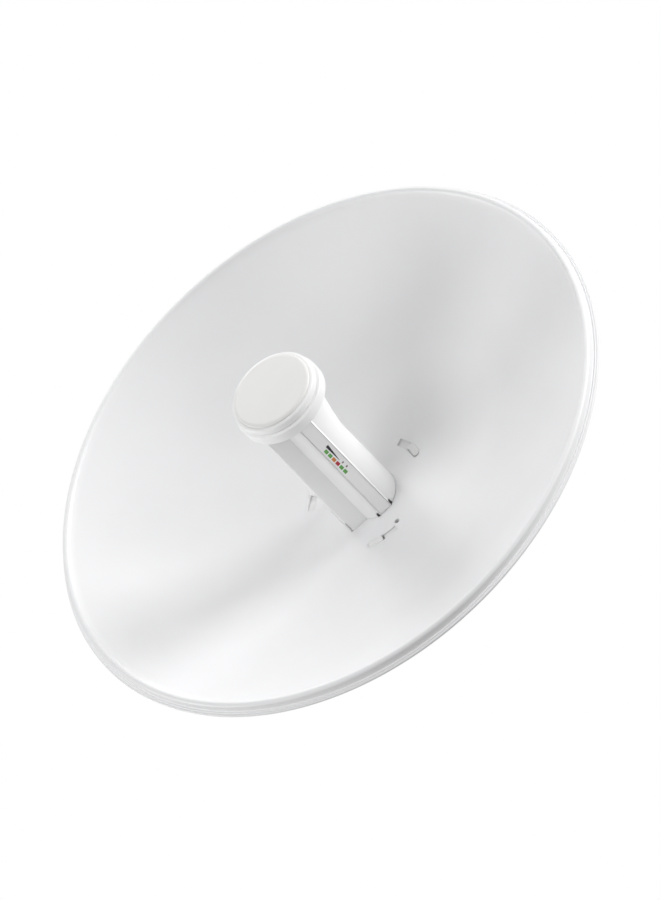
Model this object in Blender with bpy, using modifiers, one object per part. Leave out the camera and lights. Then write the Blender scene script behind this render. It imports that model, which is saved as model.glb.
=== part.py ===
"""A small microwave parabolic dish antenna on its pole bracket, in metres, +Z up.

The dish looks along -Y. The origin is on the flat rear face of the pole bracket's web.
Front pieces are drawn in the frame of the dish axis: x right, y up, z out of the bowl,
with heights measured from the bowl's lowest point.
"""

import math

import bmesh
import bpy
from mathutils import Matrix

GAP = 0.0003                      # clearance between neighbouring pieces

# The reflector: a pressed steel paraboloid with a rolled lip and a stepped rim.
DISH_RADIUS = 0.210
FOCAL_LENGTH = 0.1656
SHEET = 0.0010
BOWL_RADIUS = 0.2012              # the paraboloid ends here, where the lip kicks up
LIP_ROLL = 0.0026                 # radius of the rolled lip
LIP_CREST_RADIUS = 0.2042
LIP_CREST = 0.0635                # height of the lip over the bowl's lowest point
LIP_LEAN = math.radians(62)       # slope at which the lip leaves the bowl
LIP_TURN = math.radians(86)       # how far past level the roll turns down
SKIRT_DROP = 0.0064               # from the crest of the lip down to the ledge
LEDGE_BEND = 0.0006
EDGE_DROP = 0.0022                # the turned-down outer edge
DISH_STEPS = 60
BOWL_ROWS = 9
HUB_START = 0.012                 # the sheet starts here, inside the hole that the feed's outline cuts

# The hub pattern: three bayonet slots, unevenly spaced, round a centre a little under the dish axis.
HUB_DROP = 0.0030
SLOT_INNER = 0.0410
SLOT_OUTER = 0.0460
SLOT_SPAN = math.radians(30)
SLOT_MIDDLES = [math.radians(a) for a in (-16.5, 96, 217)]
TAB_SPAN = math.radians(14)
TAB_MARGIN = 0.012                # angle left free at the slot's end
TAB_FOOT = -0.0040                # the posts start inside the housing, at this height
TAB_SIDE = 0.0006                 # the post stands this far inside the slot's two arcs
TAB_INSET = 0.02                  # the lip is narrower than its post by this angle at each end
TAB_LIP = 0.0018                  # how far the tab's lip reaches over the sheet
TAB_RISE = 0.0012                 # thickness of the lip
TAB_LIFT = 0.0005                 # the lip's height over the sheet

# The feed tube: round above, flat-sided below, drawn as half a section.
TUBE_RADIUS = 0.02315
TUBE_CENTRE = 0.00475             # the round part's centre lies this far under the dish axis
STRIP_X = 0.0222                  # half width over the flat strips
STRIP_TOP = 0.0040
STRIP_BOTTOM = -0.0054
RAIL = 0.0008                     # width of the rail on each side of a strip
RAIL_RISE = 0.0005
FLAT_X = 0.0153                   # half width over the lower flats
FLAT_TOP = -0.0140                # a slope leads from each strip's lower rail to here
SLOPE_SWELL = 0.0003              # how far the slope's middle bulges each way
TUBE_BOTTOM = -0.0279
TUBE_CORNER = 0.0016
TUBE_BACK = -0.0130               # where the tube ends, inside the housing
FLARE_START = 0.0660
FLARE_RISE = 0.0086               # how much the round top climbs by the head
FLARE_ROWS = 7
TUBE_HOLE_CLEARANCE = 0.0005
LABEL_THICK = 0.0004
LABEL_BACK = 0.0020
LABEL_FRONT = 0.1130

# The feed head, as heights in front of the bowl's lowest point.
SKIRT_RADIUS = 0.0333
SKIRT_BACK = 0.1161
SKIRT_FRONT = 0.1245
SKIRT_ROUND = 0.0016
RING_RADIUS = 0.0317
RING_CREST = 0.1310               # the ring slopes down from here to its outer edge
RING_ROUND = 0.0012
DISC_RADIUS = 0.0294
DISC_FACE = 0.1326
DISC_FLAT = 0.0268                # the disc is flat out to here, and its edge is rounded from here on
DISC_DROP = 0.0016
HEAD_STEPS = 40

# The rear housing, as depths behind the bowl's lowest point.
FLANGE_RADIUS = 0.0542
FLANGE_BACK = 0.0060
FLANGE_ROUND = 0.0012
NECK_FILLET = 0.0040
HOUSING_RADIUS = 0.0440
HOUSING_DEPTH = 0.0250
HOUSING_ROUND = 0.0070
HOUSING_STEPS = 40

# The port under the housing: a moulded boss, its cover, and the grommet in the mouth.
PORT_MIDDLE = 0.0155              # the port stands this far behind the bowl's lowest point
PORT_HALF_WIDTH = 0.0160
PORT_HALF_DEPTH = 0.0085
PORT_CORNER = 0.0035
PORT_STEP = 0.0004                # the cover stands this far proud of the boss all round
PORT_MOUTH = -0.0490              # height of the boss's lower face
BOSS_HEIGHT = 0.0250
COVER_HEIGHT = 0.0070
GROMMET_RADIUS = 0.0052
GROMMET_PROUD = 0.0015

# The brackets: folded steel sheet.
STEEL = 0.0025
ALIGN_HALF = 0.0270               # the alignment bracket's web is a square of twice this
WEB_CORNER = 0.0040
EAR_HALF_HEIGHT = 0.0240
EAR_LENGTH = 0.0200
EAR_CORNER = 0.0050
EAR_ROOT = 0.0005                 # an ear starts this deep inside its web
POLE_HALF_WIDTH = ALIGN_HALF - STEEL - GAP
POLE_EAR_REACH = 0.0190           # how far the pole bracket's ears reach forward
WEB_SPACE = 0.0020                # between the alignment bracket's ears and the pole bracket's web
WING_HALF_WIDTH = 0.0405
WING_HALF_HEIGHT = 0.0180
WING_CORNER = 0.0060
JAW_DEPTH = 0.0120
JAW_HALF_WIDTH = 0.0245
JAW_TEETH = 6
JAW_TOOTH = 0.0010
VEE_HALF_ANGLE = math.radians(60)
VEE_FLOOR = 0.0030                # metal left under the bottom of the vee
POLE_RADIUS = 0.0150              # the pole that the closed clamp stands round
PIVOT_FROM_EDGE = 0.0085          # from the alignment bracket's rear edge to its pivot
PIVOT_UP = 0.0130
ARC_DOWN = -0.0130
ARC_SWING = math.radians(12)

# Fasteners.
BOLT_STEPS = 12
SCREW_RADIUS = 0.0022
SCREW_LENGTH = 0.0085
SCREW_HEAD_RADIUS = 0.0042
SCREW_HEAD = 0.0020
SCREW_OUT = 0.0158                # the four screws stand this far from the web's middle each way
CLAMP_BOLT_OUT = 0.0338           # the clamp bolts stand this far each side
CLAMP_BOLT_RADIUS = 0.0030
CLAMP_BOLT_TAIL = 0.0078          # thread left past the clamp
CLAMP_HEAD_RADIUS = 0.0065
CLAMP_HEAD = 0.0030
CLAMP_NUT_RADIUS = 0.0055
CLAMP_NUT_FLANGE = 0.0068
CLAMP_NUT_HEIGHT = 0.0056
ARM_BOLT_RADIUS = 0.0030
ARM_BOLT_TAIL = 0.0078            # from the inside of the ears to the bolt's end
ARM_HEAD_RADIUS = 0.0055
ARM_HEAD = 0.0060
ARM_FLANGE = 0.0072
ARM_NUT_HEIGHT = 0.0056
NUT_FLANGE = 0.0012
CHAMFER = 0.0008

VERTEX_Y = -(HOUSING_DEPTH + GAP + EAR_LENGTH + GAP + STEEL + WEB_SPACE)
HOUSING_BACK_Y = VERTEX_Y + HOUSING_DEPTH
EAR_FRONT_Y = HOUSING_BACK_Y + GAP
PIVOT_Y = EAR_FRONT_Y + EAR_LENGTH - PIVOT_FROM_EDGE
POLE_Y = VEE_FLOOR + POLE_RADIUS / math.sin(VEE_HALF_ANGLE)
CLAMP_Y = 2 * POLE_Y              # the clamp's web mirrors the bracket's about the pole
SIDES = ((1, "right"), (-1, "left"))
LEVELS = ((1, "upper"), (-1, "lower"))


def reset():
    for obj in list(bpy.data.objects):
        bpy.data.objects.remove(obj, do_unlink=True)
    for name in ("dish_antenna", "cutters"):
        bpy.context.scene.collection.children.link(bpy.data.collections.new(name))


def material(name, colour, roughness, metallic=0.0):
    made = bpy.data.materials.new(name)
    made.use_nodes = True
    shader = made.node_tree.nodes["Principled BSDF"]
    shader.inputs["Base Color"].default_value = (*colour, 1.0)
    shader.inputs["Roughness"].default_value = roughness
    shader.inputs["Metallic"].default_value = metallic
    return made


def put(name, mesh, finish):
    """An object of this mesh: a piece of the antenna if it has a finish, or else a cutter."""
    obj = bpy.data.objects.new(name, mesh)
    bpy.data.collections["dish_antenna" if finish else "cutters"].objects.link(obj)
    if finish:
        mesh.materials.append(finish)
    else:
        obj.hide_render = True
        obj.display_type = "WIRE"
    return obj


def turned(name, profile, finish, steps, closed=False):
    """(radius, height) pairs turned about local Z, running down the outer side."""
    count = len(profile)
    edges = [(i, (i + 1) % count) for i in range(count if closed else count - 1)]
    mesh = bpy.data.meshes.new(name)
    mesh.from_pydata([(radius, 0.0, height) for radius, height in profile], edges, [])
    obj = put(name, mesh, finish)
    screw = obj.modifiers.new("turn", "SCREW")
    screw.steps = steps
    screw.render_steps = steps
    screw.use_merge_vertices = True
    screw.merge_threshold = 0.00001
    return obj


def slab(name, outline, thick, place, finish=None, holes=()):
    """A flat outline with its holes, drawn as a filled 2D curve, thickened and made a mesh."""
    curve = bpy.data.curves.new(name, "CURVE")
    curve.dimensions = "2D"
    curve.fill_mode = "BOTH"
    curve.extrude = thick / 2
    for ring in (outline, *holes):
        spline = curve.splines.new("POLY")
        spline.points.add(len(ring) - 1)
        spline.use_cyclic_u = True
        for point, (x, y) in zip(spline.points, ring):
            point.co = (x, y, 0.0, 1.0)
    guide = bpy.data.objects.new(name + "_curve", curve)
    bpy.data.collections["cutters"].objects.link(guide)
    graph = bpy.context.evaluated_depsgraph_get()
    mesh = bpy.data.meshes.new_from_object(guide.evaluated_get(graph))
    bpy.data.objects.remove(guide, do_unlink=True)
    work = bmesh.new()
    work.from_mesh(mesh)
    bmesh.ops.remove_doubles(work, verts=work.verts, dist=0.000001)
    bmesh.ops.recalc_face_normals(work, faces=work.faces)
    work.to_mesh(mesh)
    work.free()
    mesh.transform(place)
    return put(name, mesh, finish)


def boolean(obj, other, operation):
    modifier = obj.modifiers.new(other.name, "BOOLEAN")
    modifier.operation = operation
    modifier.object = other


def settle(obj):
    """Makes the modifiers' result the object's own mesh and shades it smooth but for its edges."""
    graph = bpy.context.evaluated_depsgraph_get()
    mesh = bpy.data.meshes.new_from_object(obj.evaluated_get(graph))
    obj.modifiers.clear()
    obj.data = mesh
    mesh.shade_smooth()
    mesh.set_sharp_from_angle(angle=math.radians(32))


def facing_front(y):
    """Outline x and y become world X and Z; the middle of the thickness stands at this world Y."""
    return Matrix.Translation((0.0, y, 0.0)) @ Matrix.Rotation(math.pi / 2, 4, "X")


def facing_side(x):
    """Outline x and y become world Y and Z; the middle of the thickness stands at this world X."""
    turn = Matrix(((0, 0, 1), (1, 0, 0), (0, 1, 0))).to_4x4()
    return Matrix.Translation((x, 0.0, 0.0)) @ turn


def facing_up(z):
    return Matrix.Translation((0.0, 0.0, z))


def in_dish(height):
    """Outline x and y are taken from the dish axis, at this height in front of the bowl's lowest point."""
    return Matrix.Translation((0.0, -height, 0.0)) @ dish_frame()


def dish_frame():
    return Matrix.Translation((0.0, VERTEX_Y, HUB_DROP)) @ Matrix.Rotation(math.pi / 2, 4, "X")


def circle(x, y, radius):
    turn = 2 * math.pi / BOLT_STEPS
    return [(x + radius * math.cos(i * turn), y + radius * math.sin(i * turn)) for i in range(BOLT_STEPS)]


def rounded(x0, y0, x1, y1, radius, steps=4):
    """A rectangle with its corners rounded."""
    middles = [(x1 - radius, y1 - radius), (x0 + radius, y1 - radius),
               (x0 + radius, y0 + radius), (x1 - radius, y0 + radius)]
    return [(x + radius * math.cos((quarter + i / steps) * math.pi / 2),
             y + radius * math.sin((quarter + i / steps) * math.pi / 2))
            for quarter, (x, y) in enumerate(middles) for i in range(steps + 1)]


def arc_band(x, y, inner, outer, first, last, steps=6):
    """A curved band between two radii and two angles."""
    angles = [first + (last - first) * i / steps for i in range(steps + 1)]
    outside = [(x + outer * math.cos(a), y + outer * math.sin(a)) for a in angles]
    inside = [(x + inner * math.cos(a), y + inner * math.sin(a)) for a in reversed(angles)]
    return outside + inside


def widened(outline, clearance):
    """A clockwise outline moved outwards by this clearance, each point along its corner's bisector."""
    grown = []
    for i, (x, y) in enumerate(outline):
        ends = outline[i - 1], outline[(i + 1) % len(outline)]
        before = math.atan2(y - ends[0][1], x - ends[0][0])
        after = math.atan2(ends[1][1] - y, ends[1][0] - x)
        turn = math.remainder(after - before, 2 * math.pi) / 2
        lean = before + turn + math.pi / 2
        reach = clearance / math.cos(turn)
        grown.append((x + reach * math.cos(lean), y + reach * math.sin(lean)))
    return grown


def bowl(radius):
    return radius * radius / (4 * FOCAL_LENGTH)


def bowl_radii():
    return [HUB_START + (BOWL_RADIUS - HUB_START) * i / BOWL_ROWS for i in range(BOWL_ROWS + 1)]


def reflector_profile():
    """The front surface from the hub out: bowl, rolled lip, skirt, ledge, turned-down edge."""
    rows = [(radius, bowl(radius)) for radius in bowl_radii()]
    for i in range(7):
        lean = LIP_LEAN - (LIP_LEAN + LIP_TURN) * i / 6
        drop = LIP_ROLL * (1 - math.cos(lean))
        rows.append((LIP_CREST_RADIUS - LIP_ROLL * math.sin(lean), LIP_CREST - drop))
    foot = rows[-1][0] + 0.15 * LEDGE_BEND
    ledge = LIP_CREST - SKIRT_DROP
    rows += [(foot, ledge + LEDGE_BEND), (foot + 0.3 * LEDGE_BEND, ledge + 0.3 * LEDGE_BEND),
             (foot + LEDGE_BEND, ledge), (DISH_RADIUS - 1.4 * LEDGE_BEND, ledge - 0.3 * LEDGE_BEND),
             (DISH_RADIUS - 0.4 * LEDGE_BEND, ledge - 0.8 * LEDGE_BEND),
             (DISH_RADIUS, ledge - 1.8 * LEDGE_BEND), (DISH_RADIUS, ledge - EDGE_DROP)]
    return rows


def tube_outline(lift=1.0):
    """The tube's section, right half down then left half up. The lift stretches its round top."""
    edge = STRIP_X + RAIL_RISE
    shoulder = STRIP_TOP + RAIL
    start = math.acos((shoulder + TUBE_CENTRE) / TUBE_RADIUS)
    half = []
    for i in range(9):
        lean = start * i / 8
        rise = TUBE_RADIUS * math.cos(lean) - TUBE_CENTRE - shoulder
        half.append((TUBE_RADIUS * math.sin(lean), shoulder + rise * lift))
    half += [(edge, shoulder - 0.2 * RAIL), (edge, STRIP_TOP), (STRIP_X, STRIP_TOP - 0.1 * RAIL),
             (STRIP_X, STRIP_BOTTOM + 0.1 * RAIL), (edge, STRIP_BOTTOM), (edge, STRIP_BOTTOM - RAIL)]
    foot = STRIP_BOTTOM - RAIL
    for i in range(1, 5):
        share = i / 4
        swell = 4 * SLOPE_SWELL * share * (1 - share)
        half.append((edge + (FLAT_X - edge) * share + swell, foot + (FLAT_TOP - foot) * share - swell))
    for i in range(5):
        lean = i / 4 * math.pi / 2
        round_in = TUBE_CORNER * (1 - math.cos(lean))
        half.append((FLAT_X - round_in, TUBE_BOTTOM + TUBE_CORNER * (1 - math.sin(lean))))
    return half + [(-x, y) for x, y in reversed(half) if x > 0]


def tube_prism(name, clearance, low, high):
    """A straight cutter of the tube's section, between two heights in the dish's frame."""
    outline = widened(tube_outline(), clearance)
    return slab(name, outline, high - low, in_dish((low + high) / 2))


def make_frame():
    """The empty that carries the turned front pieces: its Z runs out of the bowl, along world -Y."""
    frame = bpy.data.objects.new("dish_axis", None)
    bpy.data.collections["dish_antenna"].objects.link(frame)
    frame.location = (0.0, VERTEX_Y, HUB_DROP)
    frame.rotation_euler = (math.pi / 2, 0.0, 0.0)
    bpy.context.view_layer.update()
    return frame


def make_reflector(frame, paint):
    dish = turned("reflector", reflector_profile(), paint, DISH_STEPS)
    dish.parent = frame
    wall = dish.modifiers.new("sheet", "SOLIDIFY")
    wall.thickness = SHEET
    wall.offset = -1.0
    wall.use_even_offset = True
    boolean(dish, tube_prism("tube_hole", TUBE_HOLE_CLEARANCE, -0.010, 0.020), "DIFFERENCE")
    for number, middle in enumerate(SLOT_MIDDLES, 1):
        first = middle - SLOT_SPAN / 2
        outline = arc_band(0.0, -HUB_DROP, SLOT_INNER, SLOT_OUTER, first, first + SLOT_SPAN)
        boolean(dish, slab(f"slot_{number}", outline, 0.030, in_dish(0.005)), "DIFFERENCE")
    return dish


def make_feed_tube(frame, plastic):
    """A loft of the tube's section from the housing to the head, its round top flaring."""
    climb = SKIRT_BACK - GAP - FLARE_START
    work = bmesh.new()
    rings = []
    for row in range(-1, FLARE_ROWS + 1):
        share = max(0, row) / FLARE_ROWS
        height = TUBE_BACK if row < 0 else FLARE_START + climb * share
        lift = 1 + FLARE_RISE * share ** 1.3 / (TUBE_RADIUS - TUBE_CENTRE - STRIP_TOP - RAIL)
        rings.append([work.verts.new((x, y, height)) for x, y in tube_outline(lift)])
    for low, high in zip(rings, rings[1:]):
        for i, corner in enumerate(low):
            work.faces.new((low[i - 1], corner, high[i], high[i - 1]))
    work.faces.new(rings[0])
    work.faces.new(rings[-1])
    bmesh.ops.recalc_face_normals(work, faces=work.faces)
    mesh = bpy.data.meshes.new("feed_tube")
    work.to_mesh(mesh)
    work.free()
    tube = put("feed_tube", mesh, plastic)
    tube.parent = frame
    return tube


def make_label(paper):
    """A film along the strip on the tube's right side, where the signal marks are."""
    margin = 0.6 * RAIL
    front, back = VERTEX_Y - LABEL_FRONT, VERTEX_Y - LABEL_BACK
    low, high = HUB_DROP + STRIP_BOTTOM + margin, HUB_DROP + STRIP_TOP - margin
    outline = [(front, low), (back, low), (back, high), (front, high)]
    return slab("signal_label", outline, LABEL_THICK, facing_side(STRIP_X + GAP + LABEL_THICK / 2), paper)


def make_head(frame, plastic):
    """The feed's head: a skirt on the tube's end, and a ring round a raised disc with a rounded edge."""
    edge = SKIRT_RADIUS - SKIRT_ROUND
    skirt = [(0.0, SKIRT_FRONT), (edge, SKIRT_FRONT),
             (SKIRT_RADIUS - 0.3 * SKIRT_ROUND, SKIRT_FRONT - 0.3 * SKIRT_ROUND),
             (SKIRT_RADIUS, SKIRT_FRONT - SKIRT_ROUND), (SKIRT_RADIUS, SKIRT_BACK + SKIRT_ROUND / 2),
             (SKIRT_RADIUS - SKIRT_ROUND / 2, SKIRT_BACK), (0.0, SKIRT_BACK)]
    foot = SKIRT_FRONT + GAP
    seat = DISC_RADIUS + GAP
    ring = [(seat, RING_CREST), (RING_RADIUS - RING_ROUND, RING_CREST - RING_ROUND / 3),
            (RING_RADIUS - 0.3 * RING_ROUND, RING_CREST - 0.7 * RING_ROUND),
            (RING_RADIUS, RING_CREST - 1.4 * RING_ROUND), (RING_RADIUS, foot + RING_ROUND),
            (RING_RADIUS - RING_ROUND, foot), (seat, foot)]
    turns = [i / 4 * math.pi / 2 for i in range(5)]
    edge = [(DISC_FLAT + (DISC_RADIUS - DISC_FLAT) * math.sin(a), DISC_FACE - DISC_DROP * (1 - math.cos(a)))
            for a in turns]
    disc = [(0.0, DISC_FACE), *edge, (DISC_RADIUS, foot), (0.0, foot)]
    made = [turned("head_skirt", skirt, plastic, HEAD_STEPS), turned("face_disc", disc, plastic, HEAD_STEPS),
            turned("front_ring", ring, plastic, HEAD_STEPS, closed=True)]
    for piece in made:
        piece.parent = frame
    return made


def bowl_seat(frame):
    """A cutter that gives the housing a front that follows the back of the sheet, a gap away."""
    top = 0.020
    below = GAP + 1.1 * SHEET
    radii = bowl_radii()[:4]
    front = [(0.0, top), (radii[-1], top)]
    back = [(radius, bowl(radius) - below) for radius in reversed(radii)]
    seat = turned("bowl_seat", front + back + [(0.0, bowl(HUB_START) - below)], None, DISH_STEPS)
    seat.parent = frame
    return seat


def make_housing(frame, plastic):
    """The plastic body behind the dish, its three tabs reaching through the slots."""
    back = -HOUSING_DEPTH
    neck = HOUSING_RADIUS + NECK_FILLET
    front = 0.0060
    profile = [(0.0, front), (FLANGE_RADIUS, front), (FLANGE_RADIUS, -FLANGE_BACK + FLANGE_ROUND),
               (FLANGE_RADIUS - FLANGE_ROUND, -FLANGE_BACK), (neck, -FLANGE_BACK - 0.2 * NECK_FILLET),
               (neck - 0.85 * NECK_FILLET, -FLANGE_BACK - NECK_FILLET),
               (HOUSING_RADIUS, back / 2), (HOUSING_RADIUS - 0.3 * HOUSING_ROUND, back + 0.7 * HOUSING_ROUND),
               (HOUSING_RADIUS - 0.6 * HOUSING_ROUND, back + 0.2 * HOUSING_ROUND),
               (HOUSING_RADIUS - HOUSING_ROUND, back), (0.0, back)]
    body = turned("rear_housing", profile, plastic, HOUSING_STEPS)
    body.parent = frame
    body.location = (0.0, -HUB_DROP, 0.0)
    boolean(body, bowl_seat(frame), "DIFFERENCE")
    boss = slab("port_boss", port_outline(PORT_STEP), BOSS_HEIGHT, facing_up(PORT_MOUTH + BOSS_HEIGHT / 2))
    boolean(body, boss, "UNION")
    for number, middle in enumerate(SLOT_MIDDLES, 1):
        first = middle - SLOT_SPAN / 2 + TAB_MARGIN
        last = first + TAB_SPAN
        reach = SLOT_OUTER + TAB_LIP
        far_side = reach * math.sin(middle) - HUB_DROP
        under = bowl(math.hypot(reach * math.cos(middle), far_side)) + TAB_LIFT
        over = under + TAB_RISE
        post = arc_band(0.0, -HUB_DROP, SLOT_INNER + TAB_SIDE, SLOT_OUTER - TAB_SIDE, first, last)
        tall = under + TAB_RISE / 2 - TAB_FOOT
        boolean(body, slab(f"tab_post_{number}", post, tall, in_dish(TAB_FOOT + tall / 2)), "UNION")
        lip = arc_band(0.0, -HUB_DROP, SLOT_INNER + 5 * TAB_SIDE, reach, first + TAB_INSET, last - TAB_INSET)
        boolean(body, slab(f"tab_lip_{number}", lip, TAB_RISE, in_dish((under + over) / 2)), "UNION")
    boolean(body, tube_prism("tube_socket", GAP, TUBE_BACK - GAP, 0.020), "DIFFERENCE")
    for number, (x, z) in enumerate(screw_places(), 1):
        outline = circle(x, z, SCREW_RADIUS + GAP)
        deep = SCREW_LENGTH + 0.0010
        hole = slab(f"screw_hole_{number}", outline, 2 * deep, facing_front(HOUSING_BACK_Y))
        boolean(body, hole, "DIFFERENCE")
    return body


def port_outline(inset):
    """Seen from above: the port boss and its cover share one rounded outline."""
    middle = VERTEX_Y + PORT_MIDDLE
    wide = PORT_HALF_WIDTH - inset
    deep = PORT_HALF_DEPTH - inset
    return rounded(-wide, middle - deep, wide, middle + deep, PORT_CORNER)


def make_port(plastic, rubber):
    middle = VERTEX_Y + PORT_MIDDLE
    top = PORT_MOUTH - GAP
    hollow = circle(0.0, middle, GROMMET_RADIUS + GAP)
    place = facing_up(top - COVER_HEIGHT / 2)
    cover = slab("port_cover", port_outline(0.0), COVER_HEIGHT, place, plastic, [hollow])
    tall = COVER_HEIGHT + GROMMET_PROUD
    plug = circle(0.0, middle, GROMMET_RADIUS)
    grommet = slab("cable_grommet", plug, tall, facing_up(top - tall / 2), rubber)
    return [cover, grommet]


def screw_places():
    return [(x, z) for x in (-SCREW_OUT, SCREW_OUT) for z in (-SCREW_OUT, SCREW_OUT)]


def make_alignment_bracket(steel):
    """Screwed to the housing; its ears carry the pivots and the arc slots for elevation."""
    holes = [circle(x, z, SCREW_RADIUS + GAP) for x, z in screw_places()]
    web = rounded(-ALIGN_HALF, -ALIGN_HALF, ALIGN_HALF, ALIGN_HALF, WEB_CORNER)
    bracket = slab("alignment_bracket", web, STEEL, facing_front(EAR_FRONT_Y + STEEL / 2), steel, holes)
    reach = PIVOT_UP - ARC_DOWN
    slack = ARM_BOLT_RADIUS + GAP
    down = -math.pi / 2
    slot = arc_band(PIVOT_Y, PIVOT_UP, reach - slack, reach + slack, down - ARC_SWING, down + ARC_SWING)
    root, end = EAR_FRONT_Y + EAR_ROOT, EAR_FRONT_Y + EAR_LENGTH
    for side, name in SIDES:
        ear = rounded(root, -EAR_HALF_HEIGHT, end, EAR_HALF_HEIGHT, EAR_CORNER)
        cuts = [circle(PIVOT_Y, PIVOT_UP, slack), slot]
        place = facing_side(side * (ALIGN_HALF - STEEL / 2))
        boolean(bracket, slab(f"alignment_ear_{name}", ear, STEEL, place, None, cuts), "UNION")
    return bracket


def jaw_outline(clamp_side):
    """One toothed vee jaw seen from above, reaching back from a web, or forward from the clamp's."""
    run = JAW_DEPTH - VEE_FLOOR
    half = run * math.tan(VEE_HALF_ANGLE)
    flank = []
    for i in range(JAW_TEETH):
        share = 1 - i / JAW_TEETH
        flank.append((half * share, VEE_FLOOR + run * share))
        if i:
            flank.append((half * share - JAW_TOOTH, VEE_FLOOR + run * share + 0.6 * JAW_TOOTH))
    vee = flank + [(0.0, VEE_FLOOR)] + [(-x, y) for x, y in reversed(flank)]
    root = -EAR_ROOT
    outline = [(-JAW_HALF_WIDTH, root), (JAW_HALF_WIDTH, root), (JAW_HALF_WIDTH, JAW_DEPTH), *vee,
               (-JAW_HALF_WIDTH, JAW_DEPTH)]
    return [(x, CLAMP_Y - y) for x, y in outline] if clamp_side else outline


def winged_plate(name, y, steel, clamp_side):
    """The web and wings of a pole clamp's half, with its two jaws and its bolt holes."""
    holes = [circle(side * CLAMP_BOLT_OUT, 0.0, CLAMP_BOLT_RADIUS + GAP) for side, _ in SIDES]
    outline = rounded(-WING_HALF_WIDTH, -WING_HALF_HEIGHT, WING_HALF_WIDTH, WING_HALF_HEIGHT, WING_CORNER)
    plate = slab(name, outline, STEEL, facing_front(y), steel, holes)
    for side, level in LEVELS:
        place = facing_up(side * (WING_HALF_HEIGHT - STEEL / 2))
        boolean(plate, slab(f"{name}_jaw_{level}", jaw_outline(clamp_side), STEEL, place), "UNION")
    return plate


def make_pole_bracket(steel):
    """Its web takes the pole behind and the origin is on it; its ears run between the others."""
    bracket = winged_plate("pole_bracket", -STEEL / 2, steel, clamp_side=False)
    for side, name in SIDES:
        ear = rounded(-POLE_EAR_REACH, -EAR_HALF_HEIGHT, -EAR_ROOT, EAR_HALF_HEIGHT, EAR_CORNER)
        cuts = [circle(PIVOT_Y, z, ARM_BOLT_RADIUS + GAP) for z in (PIVOT_UP, ARC_DOWN)]
        place = facing_side(side * (POLE_HALF_WIDTH - STEEL / 2))
        boolean(bracket, slab(f"pole_ear_{name}", ear, STEEL, place, None, cuts), "UNION")
    return bracket


def make_clamp_bolts(zinc):
    """Two bolts through the wings of bracket and clamp, each with a flange nut behind."""
    start = -STEEL - GAP
    low = CLAMP_Y + STEEL + GAP
    end = CLAMP_Y + STEEL + CLAMP_BOLT_TAIL
    bolt = [(0.0, end), (CLAMP_BOLT_RADIUS - CHAMFER, end), (CLAMP_BOLT_RADIUS, end - CHAMFER),
            (CLAMP_BOLT_RADIUS, start), (CLAMP_HEAD_RADIUS, start),
            (CLAMP_HEAD_RADIUS - CHAMFER, start - CLAMP_HEAD / 2),
            (CLAMP_HEAD_RADIUS / 2, start - 0.9 * CLAMP_HEAD), (0.0, start - CLAMP_HEAD)]
    bore = CLAMP_BOLT_RADIUS + GAP
    nut = [(bore, low + CLAMP_NUT_HEIGHT), (CLAMP_NUT_RADIUS, low + CLAMP_NUT_HEIGHT),
           (CLAMP_NUT_RADIUS, low + NUT_FLANGE + CHAMFER / 2), (CLAMP_NUT_FLANGE, low + NUT_FLANGE),
           (CLAMP_NUT_FLANGE, low), (bore, low)]
    made = []
    for side, name in SIDES:
        pair = [turned(f"clamp_bolt_{name}", bolt, zinc, BOLT_STEPS),
                turned(f"clamp_nut_{name}", nut, zinc, BOLT_STEPS, closed=True)]
        for piece in pair:
            piece.location = (side * CLAMP_BOLT_OUT, 0.0, 0.0)
            piece.rotation_euler = (-math.pi / 2, 0.0, 0.0)
        made += pair
    return made


def make_arm_bolts(zinc):
    """Four bolts from outside through both brackets' ears: two pivots and two in the arc slots."""
    outside = ALIGN_HALF + GAP
    inside = POLE_HALF_WIDTH - STEEL - GAP
    top, tip = outside + ARM_HEAD, inside - ARM_BOLT_TAIL
    bolt = [(0.0, top), (ARM_HEAD_RADIUS - CHAMFER / 2, top), (ARM_HEAD_RADIUS, top - CHAMFER),
            (ARM_HEAD_RADIUS, outside + NUT_FLANGE + CHAMFER / 2), (ARM_FLANGE, outside + NUT_FLANGE),
            (ARM_FLANGE, outside), (ARM_BOLT_RADIUS, outside), (ARM_BOLT_RADIUS, tip + CHAMFER),
            (ARM_BOLT_RADIUS - CHAMFER, tip), (0.0, tip)]
    bore = ARM_BOLT_RADIUS + GAP
    nut = [(bore, inside), (ARM_FLANGE, inside), (ARM_FLANGE, inside - NUT_FLANGE),
           (ARM_HEAD_RADIUS, inside - NUT_FLANGE - CHAMFER / 2), (ARM_HEAD_RADIUS, inside - ARM_NUT_HEIGHT),
           (bore, inside - ARM_NUT_HEIGHT)]
    made = []
    for side, name in SIDES:
        for level, where in ((PIVOT_UP, "pivot"), (ARC_DOWN, "slot")):
            pair = [turned(f"{where}_bolt_{name}", bolt, zinc, BOLT_STEPS),
                    turned(f"{where}_nut_{name}", nut, zinc, BOLT_STEPS, closed=True)]
            for piece in pair:
                piece.location = (0.0, PIVOT_Y, level)
                piece.rotation_euler = (0.0, side * math.pi / 2, 0.0)
            made += pair
    return made


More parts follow.
